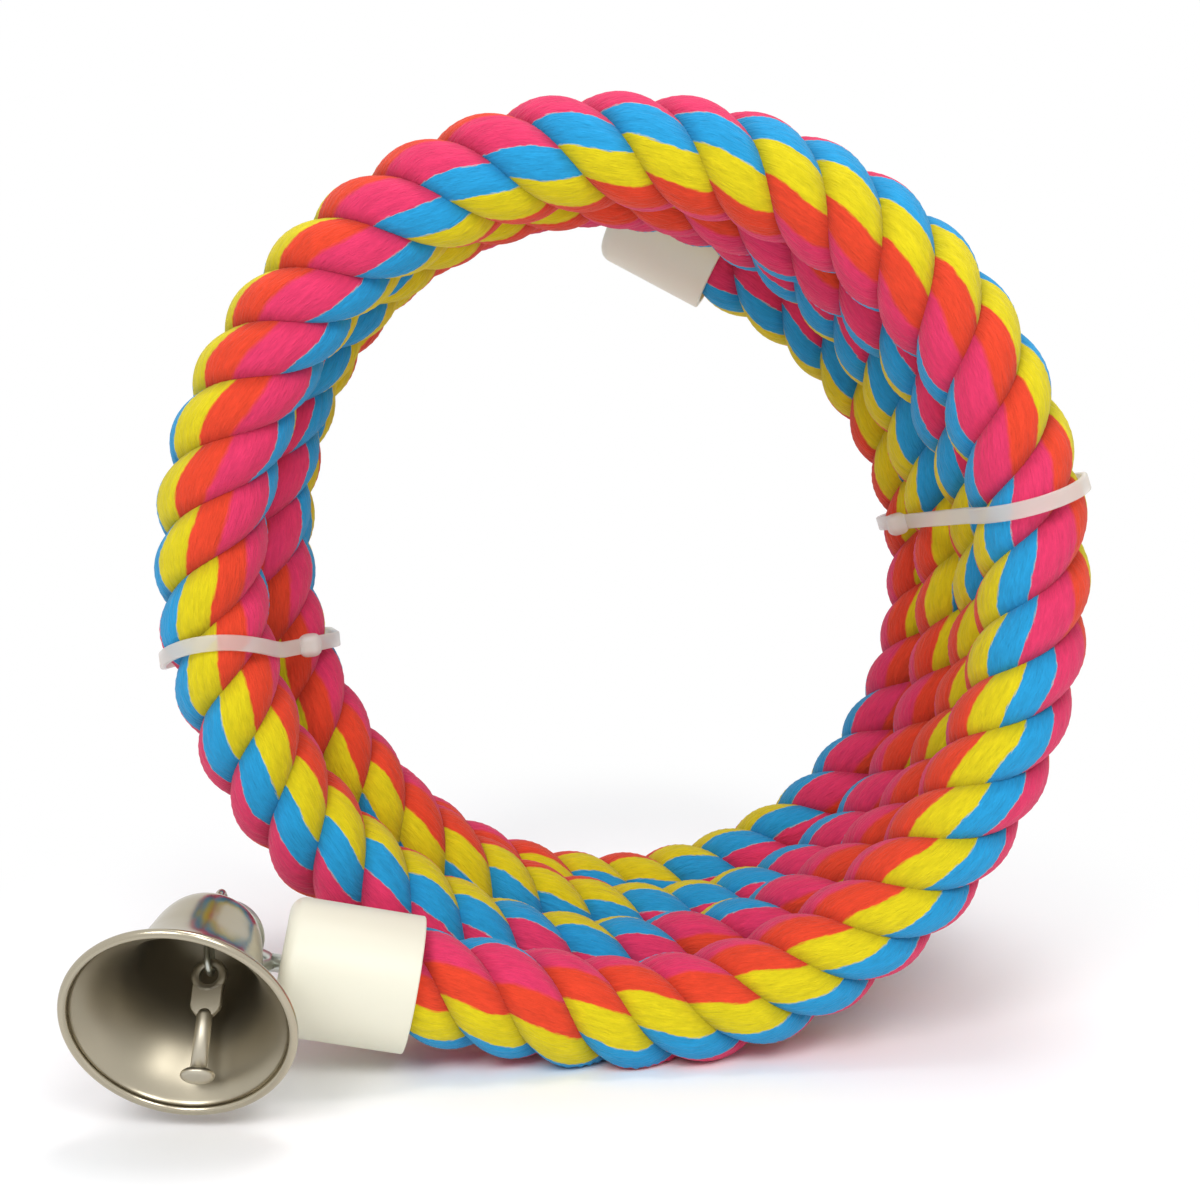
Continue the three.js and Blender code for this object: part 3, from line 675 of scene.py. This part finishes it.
# Rope
def strands():
    """Laid strands, with the yarns' phase and length as UV and the painted shade of the grooves as
    an attribute.
    """
    centre, out, side, degrees, s = rope_path()
    colour = np.interp(degrees, *zip(*COLOUR_PLACES))
    points, faces, uvs = [], [], []
    rng = np.random.default_rng(STRAND_SEED)
    rings = len(s)
    psi = np.arange(STRAND_SIDES) * 2 * math.pi / STRAND_SIDES - math.pi
    spread = 1 + STRAND_LAY / (2 * COLOUR_CYCLE)
    for k in range(STRANDS):
        theta = 2 * math.pi * s / STRAND_LAY + k * 2 * math.pi / STRANDS
        swells = rng.normal(0, SWELL_SPREAD, int(s[-1] / SWELL_SPACING) + 3)
        swell = np.interp(s / SWELL_SPACING, np.arange(len(swells)), swells) * SWELL
        radius = STRAND_RADIUS + swell
        outward = np.cos(theta)[:, None] * out + np.sin(theta)[:, None] * side
        around = -np.sin(theta)[:, None] * out + np.cos(theta)[:, None] * side
        middle = centre + STRAND_OFFSET * outward
        strand_ahead = np.gradient(middle, axis=0)
        strand_ahead /= np.linalg.norm(strand_ahead, axis=1)[:, None]
        across = around - (around * strand_ahead).sum(1)[:, None] * strand_ahead
        across /= np.linalg.norm(across, axis=1)[:, None]
        ring = (middle[:, None]
                + radius[:, None, None] * (np.cos(psi)[None, :, None] * outward[:, None]
                                           + np.sin(psi)[None, :, None] * across[:, None]))
        offset = len(points)
        points.extend(ring.reshape(-1, 3))
        wanders = rng.normal(0, 1, WANDER_PLACES)
        wander = np.interp(s / WANDER_SPACING, np.arange(WANDER_PLACES), wanders)
        drift = COLOUR_LAG * (k - 1) + COLOUR_WANDER * wander
        for i in range(rings - 1):
            a, b = offset + i * STRAND_SIDES, offset + (i + 1) * STRAND_SIDES
            for j in range(STRAND_SIDES):
                n = (j + 1) % STRAND_SIDES
                faces.append((a + j, a + n, b + n, b + j))
                for row, col in ((i, j), (i, j + 1), (i + 1, j + 1), (i + 1, j)):
                    around_strand = col * 2 * math.pi / STRAND_SIDES - math.pi
                    angle = spread * around_strand + 2 * theta[row]
                    phase = -angle / (2 * math.pi) + colour[row] + drift[row]
                    uvs.append((phase, s[row] / YARN_UNIT))
        for row in (0, rings - 1):
            end = [offset + row * STRAND_SIDES + j for j in range(STRAND_SIDES)]
            faces.append(tuple(end if row else reversed(end)))
            uvs.extend([(0, 0)] * STRAND_SIDES)
    points = np.array(points)
    points[:, 2] = np.maximum(points[:, 2], 0.0)
    rope = new_mesh("rope_strands", points, faces)
    # Painted shade, rising from a strand's crest towards the grooves
    from_crest = np.clip((np.abs(psi) - CREASE_FROM) / (CREASE_TO - CREASE_FROM), 0, 1)
    painted_groove_shade = rope.data.attributes.new("painted_groove_shade", "FLOAT", "POINT")
    painted_groove_shade.data.foreach_set("value", np.tile(from_crest, STRANDS * rings).astype(np.float32))
    layer = rope.data.uv_layers.new(name="yarn")
    layer.data.foreach_set("uv", np.array(uvs, np.float32).ravel())
    finish(rope, rope_look, "coil", "rope", "rope")


strands()


# End fittings
def end_frame(degrees, sign, distance):
    axis = tangent(degrees) * sign
    up = unit(np.array([0, 0, 1.0]) - axis[2] * axis)
    origin = coil_point(degrees) + PLACE + axis * distance
    return frame_matrix(up, np.cross(axis, up), axis, origin)


def end_cap(name, matrix):
    """A cap, open towards the rope, and the eye bolt through its end."""
    inner_end = CAP_LENGTH - CAP_END_THICKNESS
    outline = [(CAP_BORE, CAP_MOUTH_DEPTH), (CAP_BORE + CAP_MOUTH_SLOPE, 0.0)]
    outline += arc(CAP_RADIUS - CAP_LIP_ROUND, CAP_LIP_ROUND, CAP_LIP_ROUND, -90, 0, 4)
    outline += arc(CAP_RADIUS - CAP_END_ROUND, CAP_LENGTH - CAP_END_ROUND, CAP_END_ROUND, 0, 90, 12)
    outline += [(BOLT_HOLE_RADIUS, CAP_LENGTH), (BOLT_HOLE_RADIUS, inner_end)]
    outline += [(CAP_BORE, inner_end)]
    cap = turned(name + "_cap", outline, matrix, segments=128)
    finish(cap, cap_look, "coil", "cap", name + "_end_cap")
    edge = cap.modifiers.new("edge", "EDGE_SPLIT")
    edge.split_angle = math.radians(CAP_SHARP_EDGE)
    eye_matrix = matrix @ shift(0, 0, EYE_MIDDLE) @ turn("Z", 90)
    eye = tube(name + "_eye", circle(EYE_RADIUS, steps=64), EYE_WIRE / 2, eye_matrix, closed=True)
    bolt = rod(name + "_bolt", BOLT_DIAMETER / 2, BOLT_START, EYE_MIDDLE - EYE_RADIUS, matrix,
               segments=48)
    merge(eye, bolt)
    finish(eye, zinc_look, "coil", "zinc", name + "_eye_bolt")


lower = end_frame(COIL_START, -1, LOWER_STRAIGHT)
upper = end_frame(COIL_END, 1, UPPER_STRAIGHT)
end_cap("lower", lower)
end_cap("upper", upper)

# Link ring
ring_offset = RING_RADIUS - (RING_WIRE + EYE_WIRE) / 2 - GAP
ring_centre = on_angle(RING_LEAN, ring_offset) + np.array([0, 0, EYE_FAR])
ring = tube("bell_link_ring", circle(RING_RADIUS, steps=96), RING_WIRE / 2,
            lower @ shift(*ring_centre), closed=True, sides=24)
finish(ring, zinc_look, "ring", "zinc", "bell_ring")


# Bell
def smooth_outline(points):
    """A curve through the points without corners."""
    p = np.array([points[0]] + list(points) + [points[-1]], float)
    curve = []
    for i in range(1, len(p) - 2):
        for k in range(BELL_CURVE_STEPS):
            t = k / BELL_CURVE_STEPS
            curve.append(0.5 * ((2 * p[i]) + (p[i + 1] - p[i - 1]) * t
                                + (2 * p[i - 1] - 5 * p[i] + 4 * p[i + 1] - p[i + 2]) * t ** 2
                                + (3 * p[i] - p[i - 1] - 3 * p[i + 1] + p[i + 2]) * t ** 3))
    curve.append(p[-2])
    return np.array(curve)


def bell_shell(matrix):
    """The shell, turned from its rim up the outside, through the crown and down the inside."""
    outside = smooth_outline(BELL_OUTSIDE)
    slope = np.gradient(outside, axis=0)
    slope /= np.linalg.norm(slope, axis=1)[:, None]
    inside = outside + np.stack([-slope[:, 1], slope[:, 0]], axis=1) * BELL_WALL
    profile = arc(RIM_RADIUS, RIM_HEIGHT, RIM_ROUND, RIM_FROM, RIM_TO, 18)[::-1]
    profile += [tuple(p) for p in outside[1:]] + [(CROWN_HOLE_RADIUS, BELL_HEIGHT)]
    outside_count = len(profile)
    profile += [(CROWN_HOLE_RADIUS, BELL_HEIGHT - BELL_WALL)]
    profile += [tuple(p) for p in inside[::-1][:-1] if p[0] > CROWN_HOLE_RADIUS + CROWN_CLEAR]
    profile = [(r, h - BELL_HEIGHT) for r, h in profile]
    shell = turned("bell_body", profile, matrix, BELL_SEGMENTS)
    # Painted shade: 1 outside, and inside darker towards the crown
    shades = [1.0] * outside_count
    for _, h in profile[outside_count:]:
        shades.append(INSIDE_SHADE + INSIDE_RISE * (-h / BELL_HEIGHT) ** INSIDE_POWER)
    shade = shell.data.attributes.new("shade", "FLOAT", "POINT")
    shade.data.foreach_set("value", np.repeat(shades, BELL_SEGMENTS).astype(np.float32))
    finish(shell, bell_look, "bell", "nickel", "bell_shell")


def bell_hanger(matrix):
    """The wire through the crown: a loop for the ring, a stem, and a loop inside for the hook."""
    hanger = tube("hanger", circle(HANGER_RADIUS, steps=48, middle=(0, 0, HANGER_HEIGHT)),
                  HANGER_WIRE / 2, matrix, closed=True)
    stem = rod("stem", HANGER_WIRE / 2, INNER_LOOP_HEIGHT + INNER_LOOP_RADIUS,
               HANGER_HEIGHT - HANGER_RADIUS, matrix, segments=32)
    loop_matrix = matrix @ shift(0, 0, INNER_LOOP_HEIGHT) @ turn("Z", 90)
    loop = tube("loop", circle(INNER_LOOP_RADIUS, steps=48), INNER_LOOP_WIRE / 2, loop_matrix,
                closed=True, sides=16)
    merge(hanger, stem, loop)
    finish(hanger, nickel_look, "bell", "nickel", "bell_hanger")


ring_top = placed([on_angle(RING_TOP, RING_RADIUS) + ring_centre], lower)[0]
yaw, dip = math.radians(BELL_YAW), math.radians(BELL_DIP)
bell_up = np.array([math.sin(yaw) * math.cos(dip), math.cos(yaw) * math.cos(dip), math.sin(dip)])
bell_x = unit(np.array([0, 0, 1.0]) - bell_up[2] * bell_up)
hanger_top = GAP + HANGER_WIRE / 2 + 2 * HANGER_RADIUS
crown = ring_top - bell_up * (hanger_top - (HANGER_WIRE + RING_WIRE) / 2 - GAP)
bell = frame_matrix(bell_x, np.cross(bell_up, bell_x), bell_up, crown)
bell_shell(bell)
bell_hanger(bell)


# Hook and clapper
def clapper_hook(matrix):
    straight = HOOK_LENGTH - 2 * HOOK_HALF_WIDTH
    loop = stadium(HOOK_HALF_WIDTH, straight, 20, (HOOK_TOP + HOOK_BOTTOM) / 2)
    hook = tube("hook", loop, HOOK_WIRE / 2, matrix, closed=True, sides=16)
    finish(hook, zinc_look, "hook", "zinc", "clapper_hook")


def clapper_head(half, matrix):
    """The round head with its hole, half as thick as given on each side of local Z."""
    hole, rim = CLAPPER_HOLE / 2, CLAPPER_HEAD / 2
    outline = [
        (hole, -half + CLAPPER_HOLE_EDGE), (hole + CLAPPER_HOLE_EDGE, -half),
        (rim - CLAPPER_HEAD_EDGE, -half), (rim, -half + CLAPPER_HEAD_EDGE),
        (rim, half - CLAPPER_HEAD_EDGE), (rim - CLAPPER_HEAD_EDGE, half),
        (hole + CLAPPER_HOLE_EDGE, half), (hole, half - CLAPPER_HOLE_EDGE),
    ]
    return turned("clapper_piece", outline, matrix, segments=64)


def clapper_plate(half, top, bottom, matrix):
    """The flat below the hole, with soft edges and shoulders down to the shank."""
    shoulder = bottom + CLAPPER_SHOULDER
    wide, narrow = CLAPPER_PLATE_WIDTH / 2, CLAPPER_SHANK / 2 + CLAPPER_NECK
    round_in, round_up = CLAPPER_SHOULDER_ROUND
    rows = [(top, wide), (shoulder + round_up, wide), (shoulder, wide - round_in), (bottom, narrow)]
    soft = CLAPPER_PLATE_EDGE
    points = []
    for height, width in rows:
        points += [(x, y, height) for x, y in (
            (half - soft, width), (half, width - soft), (half, soft - width),
            (half - soft, -width), (soft - half, -width), (-half, soft - width),
            (-half, width - soft), (soft - half, width),
        )]
    return new_mesh("plate", placed(points, matrix), grid_faces(len(rows), 8), smooth=False)


def clapper(matrix):
    """Head, plate, shank and knob, hung so that the head's hole clears the hook's lower bend."""
    half = CLAPPER_HEAD_THICKNESS / 2
    inside_hook = HOOK_HALF_WIDTH - HOOK_WIRE / 2 - GAP
    hole_height = HOOK_HALF_WIDTH - math.sqrt(inside_hook ** 2 - half ** 2) - CLAPPER_HOLE / 2
    plate_top = hole_height - CLAPPER_HOLE / 2 - CLAPPER_PLATE_OVERLAP
    plate_bottom = hole_height - CLAPPER_PLATE_LENGTH
    head = clapper_head(half, matrix @ shift(0, 0, hole_height) @ turn("Y", 90))
    plate = clapper_plate(half, plate_top, plate_bottom, matrix)
    radius = CLAPPER_SHANK / 2
    shank_top = plate_bottom + CLAPPER_HEAD_THICKNESS
    shank_end = arc(0, shank_top - radius, radius, 0, 89, 8) + [(ON_AXIS, shank_top)]
    shank_start = [(ON_AXIS, -CLAPPER_LENGTH), (radius, -CLAPPER_LENGTH)]
    shank = turned("shank", shank_start + shank_end, matrix, segments=32)
    knob_outline = [(max(r, ON_AXIS), h * CLAPPER_KNOB_HEIGHT / CLAPPER_KNOB - CLAPPER_LENGTH)
                    for r, h in arc(0, 0, CLAPPER_KNOB / 2, -90, 90, 20)]
    knob = turned("knob", knob_outline, matrix, segments=48)
    merge(head, plate, shank, knob)
    finish(head, clapper_look, "clapper", "zinc", "clapper")


hanger_bottom = INNER_LOOP_HEIGHT - INNER_LOOP_RADIUS
hook_matrix = bell @ shift(0, 0, hanger_bottom) @ turn("Y", HOOK_DIP) @ turn("X", HOOK_LEAN)
clapper_hook(hook_matrix)
clapper(hook_matrix @ shift(0, 0, HOOK_BOTTOM) @ turn("X", CLAPPER_LEAN))


# Cable ties
def hull(points):
    """Convex outline of points in a plane, as a closed row."""
    points = sorted(map(tuple, points))

    def chain(row):
        kept = []
        for p in row:
            while len(kept) > 1 and ((kept[-1][0] - kept[-2][0]) * (p[1] - kept[-2][1])
                                     - (kept[-1][1] - kept[-2][1]) * (p[0] - kept[-2][0])) <= 1e-9:
                kept.pop()
            kept.append(p)
        return kept[:-1]

    return np.array(chain(points) + chain(points[::-1]))


def evenly(points, step):
    """A closed row of points resampled to even steps."""
    closed = np.vstack([points, points[:1]])
    lengths = lengths_along(closed)
    s = np.linspace(0, lengths[-1], int(lengths[-1] / step), endpoint=False)
    return sampled(closed, lengths, s)


def rounded_box(name, size, radius, matrix):
    bm = bmesh.new()
    bmesh.ops.create_cube(bm, size=1)
    bmesh.ops.scale(bm, vec=size, verts=bm.verts)
    bmesh.ops.bevel(bm, geom=bm.edges[:], offset=radius, segments=5, profile=0.5, affect="EDGES")
    points = placed([v.co for v in bm.verts], matrix)
    faces = [[v.index for v in f.verts] for f in bm.faces]
    bm.free()
    return new_mesh(name, points, faces)


def tie_section():
    """The strap's section with rounded corners, across and out from its middle."""
    w, h = TIE_WIDTH / 2 - TIE_ROUND, TIE_THICKNESS / 2 - TIE_ROUND
    section = []
    for cx, cy, start in ((w, h, 0), (-w, h, 90), (-w, -h, 180), (w, -h, 270)):
        section += arc(cx, cy, TIE_ROUND, start, start + 90, 4)
    return section


def cable_tie(side, degrees, lag, tilt, head_from_last, bow):
    """A strap pulled tight round the rows that it binds, and its head in the coil's bore."""
    crossings = []
    angle = degrees
    while angle < COIL_END:
        crossings.append(coil_point(angle) + PLACE)
        angle += 360 - lag
    middle = math.radians(degrees - lag * (len(crossings) - 1) / 2 + tilt)
    inner = TIE_INNER / math.cos(math.radians(tilt))
    reach = inner + TIE_THICKNESS / 2
    radial = np.array([math.cos(middle), 0, math.sin(middle)])
    across = crossings[-1] - crossings[0]
    across = unit(across - np.dot(across, radial) * radial)
    through = np.cross(radial, across)
    matrix = frame_matrix(radial, across, through, crossings[0])

    offsets = [((c - crossings[0]) @ radial, (c - crossings[0]) @ across) for c in crossings]
    around = np.linspace(0, 2 * math.pi, TIE_CIRCLE_STEPS, endpoint=False)
    circles = [(x + reach * math.cos(a), y + reach * math.sin(a))
               for x, y in offsets for a in around]
    outline = evenly(hull(circles), TIE_STEP)
    ahead = np.roll(outline, -1, axis=0) - np.roll(outline, 1, axis=0)
    ahead /= np.linalg.norm(ahead, axis=1)[:, None]
    normal = np.stack([ahead[:, 1], -ahead[:, 0]], axis=1)
    in_front = np.clip(-outline[:, 1] / reach, 0, 1)
    bowed = bow * math.copysign(1, through[2]) * in_front ** TIE_BOW_POWER
    section = tie_section()
    rings = [(x + nx * v, y + ny * v, u + rise)
             for (x, y), (nx, ny), rise in zip(outline, normal, bowed) for u, v in section]
    strap = new_mesh("cable_tie_strap_" + side, placed(rings, matrix),
                     grid_faces(len(outline), len(section), closed=True))

    back = offsets[-1][1] - head_from_last
    far = next(i for i, (x, y) in enumerate(offsets) if y > back)
    (x0, y0), (x1, y1) = offsets[far - 1], offsets[far]
    out = x0 + (x1 - x0) * (back - y0) / (y1 - y0)
    head_place = shift(out - inner - TIE_HEAD_SUNK - TIE_HEAD[0] / 2, back, 0)
    head = rounded_box("head", TIE_HEAD, TIE_HEAD_ROUND, matrix @ head_place)
    merge(strap, head)
    finish(strap, nylon_look, "coil", "tie", "cable_tie_" + side)


for side, place in TIE_PLACES.items():
    cable_tie(side, *place)


# Quick link
def quick_link(matrix):
    """The wire from one side of the gate round both ends to the other."""
    middle = -((EYE_WIRE + LINK_WIRE) / 2 + GAP) + LINK_HALF_WIDTH + LINK_STRAIGHT / 2
    gate_middle = middle + (LINK_STRAIGHT - SLEEVE_LENGTH) / 2 - LINK_GATE_SHIFT
    loop = np.array(stadium(LINK_HALF_WIDTH, LINK_STRAIGHT, LINK_STEPS, middle))
    top, bottom = loop[:LINK_STEPS + 1], loop[LINK_STEPS + 1:]
    gate_low = np.array([[-LINK_HALF_WIDTH, 0, gate_middle - LINK_GATE / 2]])
    gate_high = np.array([[-LINK_HALF_WIDTH, 0, gate_middle + LINK_GATE / 2]])
    wire = np.vstack([gate_low, bottom, top, gate_high])
    lengths = lengths_along(wire)
    wire = sampled(wire, lengths, np.linspace(0, lengths[-1], LINK_STATIONS))
    link = tube("link_wire", wire, LINK_WIRE / 2, matrix, sides=24)
    finish(link, zinc_look, "quick_link", "zinc", "quick_link_body")


quick_link(upper @ shift(0, 0, EYE_FAR) @ turn("Y", -LINK_HANG))

# What is left keeps its CAD shape
for name, look in (
    ("core_spring_wire", steel_look), ("lower_washer", zinc_look), ("lower_nut", zinc_look),
    ("upper_washer", zinc_look), ("upper_nut", zinc_look), ("quick_link_sleeve", zinc_look),
):
    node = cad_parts[name]
    node.data.materials.clear()
    node.data.materials.append(look)


# Floor, background and light
def seen_directly(nodes, links):
    """1 for the camera's rays, reflections and rays through a piece, and 0 for the light's."""
    rays = nodes.new("ShaderNodeLightPath").outputs
    seen = math_node(nodes, links, "MAXIMUM", rays["Is Camera Ray"], rays["Is Glossy Ray"])
    return math_node(nodes, links, "MAXIMUM", seen, rays["Is Transmission Ray"])


def mixed(nodes, links, mask, first, second, end):
    mix = nodes.new("ShaderNodeMixShader")
    links.new(mask, mix.inputs[0])
    links.new(first.outputs[0], mix.inputs[1])
    links.new(second.outputs[0], mix.inputs[2])
    links.new(mix.outputs[0], nodes[end].inputs[0])


def floor_material():
    """Pale near the object, where shadows fall, and plain white further out."""
    m, nodes, links, bsdf = material("floor")
    bsdf.inputs["Base Color"].default_value = FLOOR_COLOUR
    bsdf.inputs["Roughness"].default_value = FLOOR_ROUGHNESS
    coords = nodes.new("ShaderNodeTexCoord")
    offset = nodes.new("ShaderNodeVectorMath")
    offset.operation = "MULTIPLY"
    offset.inputs[1].default_value = FLOOR_STRETCH
    links.new(coords.outputs["Object"], offset.inputs[0])
    length = nodes.new("ShaderNodeVectorMath")
    length.operation = "LENGTH"
    links.new(offset.outputs[0], length.inputs[0])
    far = nodes.new("ShaderNodeMapRange")
    far.interpolation_type = "SMOOTHSTEP"
    far.inputs["From Min"].default_value = FADE_FROM
    far.inputs["From Max"].default_value = FADE_TO
    links.new(length.outputs["Value"], far.inputs["Value"])
    white = nodes.new("ShaderNodeEmission")
    white.inputs["Strength"].default_value = 1.0
    mask = math_node(nodes, links, "MULTIPLY", far.outputs[0], seen_directly(nodes, links))
    mixed(nodes, links, mask, bsdf, white, "Material Output")
    return m


def studio():
    """White where it is seen directly, and for the light a sky that is brighter above."""
    world = bpy.data.worlds.new("studio")
    bpy.context.scene.world = world
    world.use_nodes = True
    nodes, links = world.node_tree.nodes, world.node_tree.links
    background = nodes["Background"]
    background.inputs[1].default_value = 1.0
    white = nodes.new("ShaderNodeBackground")
    white.inputs[0].default_value = (1, 1, 1, 1)
    white.inputs[1].default_value = 1.0
    direction = nodes.new("ShaderNodeTexCoord")
    parts = nodes.new("ShaderNodeSeparateXYZ")
    links.new(direction.outputs["Generated"], parts.inputs[0])
    sky = nodes.new("ShaderNodeValToRGB")
    fill_ramp(sky, [SKY_LOW, SKY_HIGH])
    height = math_node(nodes, links, "MULTIPLY", parts.outputs[2], 0.5)
    links.new(math_node(nodes, links, "ADD", height, 0.5), sky.inputs[0])
    links.new(sky.outputs[0], background.inputs[0])
    mixed(nodes, links, seen_directly(nodes, links), background, white, "World Output")


def area_light(name, place, power):
    data = bpy.data.lights.new(name, "AREA")
    data.shape = "DISK"
    data.size = LAMP_SIZE
    data.energy = power
    light = bpy.data.objects.new(name, data)
    light.location = place
    aim = Vector(LAMP_TARGET) - Vector(place)
    light.rotation_euler = aim.to_track_quat("-Z", "Y").to_euler()
    bpy.context.scene.collection.objects.link(light)


corners = [(x * FLOOR_HALF_WIDTH, y * FLOOR_HALF_WIDTH, FLOOR_HEIGHT)
           for x, y in ((-1, -1), (1, -1), (1, 1), (-1, 1))]
floor = new_mesh("floor", corners, [(0, 1, 2, 3)], smooth=False)
floor.data.materials.append(floor_material())
studio()
for lamp in LAMPS:
    area_light(*lamp)

bpy.context.scene.view_settings.view_transform = "Standard"
